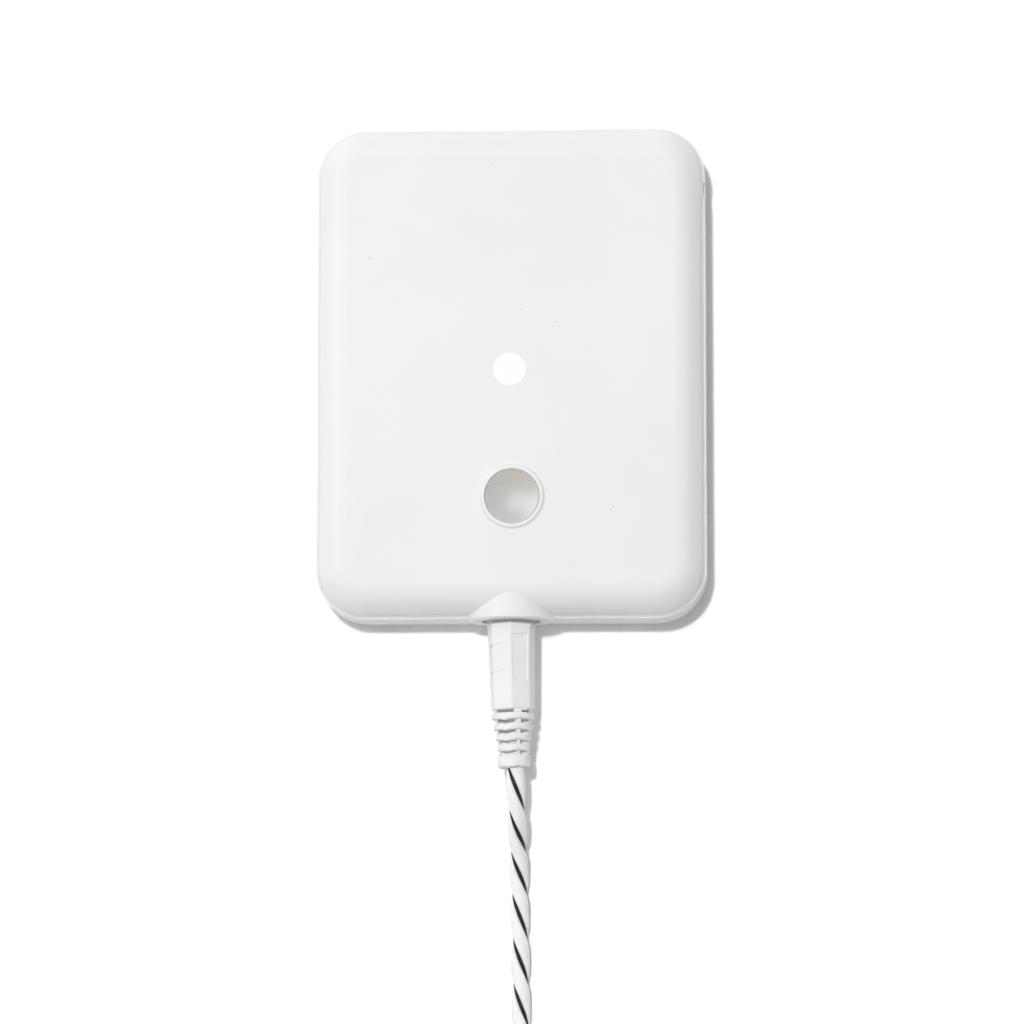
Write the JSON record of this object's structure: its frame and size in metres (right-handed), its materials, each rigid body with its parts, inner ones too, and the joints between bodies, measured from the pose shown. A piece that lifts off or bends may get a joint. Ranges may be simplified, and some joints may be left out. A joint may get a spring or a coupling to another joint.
{
  "type": "water leak sensor",
  "caption": "Wall or floor water leak sensor: a rounded white box with a dished press button and a plug-in twisted sensing rope that is coiled at its far end.",
  "frame": {"origin": "bottom centre of the box without its rope and plug, on the surface that its back rests on", "axes": "+Z out of the front face, +Y along the box to its battery end, +X to the right seen from the front; the socket, plug and rope are towards -Y"},
  "size_m": [0.0849, 0.2164, 0.0172],
  "materials": {
    "housing_white": "satin moulded",
    "screw_steel": "zinc plated",
    "button_pearl": "pearly satin",
    "ivory_plastic": "moulded",
    "board_green": "solder mask",
    "black_plastic": "moulded",
    "nickel": "plated",
    "clear_plastic": "clear lens",
    "holder_grey": "moulded",
    "cell_wrap": "printed wrap",
    "lead_red": "insulation",
    "lead_black": "insulation",
    "plug_white": "soft moulding",
    "rope_white": "twisted strands",
    "tie_black": "hook and loop"
  },
  "bodies": {
    "housing": {"front_cover": "housing_white", "rear_cover": "housing_white", "cover_screw_1": "screw_steel", "cover_screw_2": "screw_steel", "cover_screw_3": "screw_steel", "cover_screw_4": "screw_steel", "circuit_board": "board_green", "board_screw_1": "screw_steel", "board_screw_2": "screw_steel", "board_screw_3": "screw_steel", "board_screw_4": "screw_steel", "switch_body": "black_plastic", "jack_socket": "black_plastic", "radio_module": "board_green", "radio_shield": "nickel", "buzzer": "black_plastic", "indicator_led": "clear_plastic", "battery_connector": "ivory_plastic", "battery_holder": "holder_grey", "battery_1": "cell_wrap", "battery_2": "cell_wrap", "battery_3": "cell_wrap", "battery_spring_1": "nickel", "battery_spring_2": "nickel", "battery_spring_3": "nickel", "battery_plate_1": "nickel", "battery_plate_2": "nickel", "battery_plate_3": "nickel", "battery_lead_red": "lead_red", "battery_lead_black": "lead_black", "plug_moulding": "plug_white", "plug_pin": "nickel", "sensing_rope": "rope_white", "rope_coil": "rope_white", "coil_tie": "tie_black", "rope_end_cap": "plug_white"},
    "button": {"button_cap": "button_pearl", "switch_plunger": "ivory_plastic"}
  },
  "joints": [
    {"name": "button_press", "type": "slide", "parent": "housing", "child": "button", "axis": [0, 0, -1], "range_m": [0, 0.0005], "stiffness_N_per_m": 4000}
  ]
}
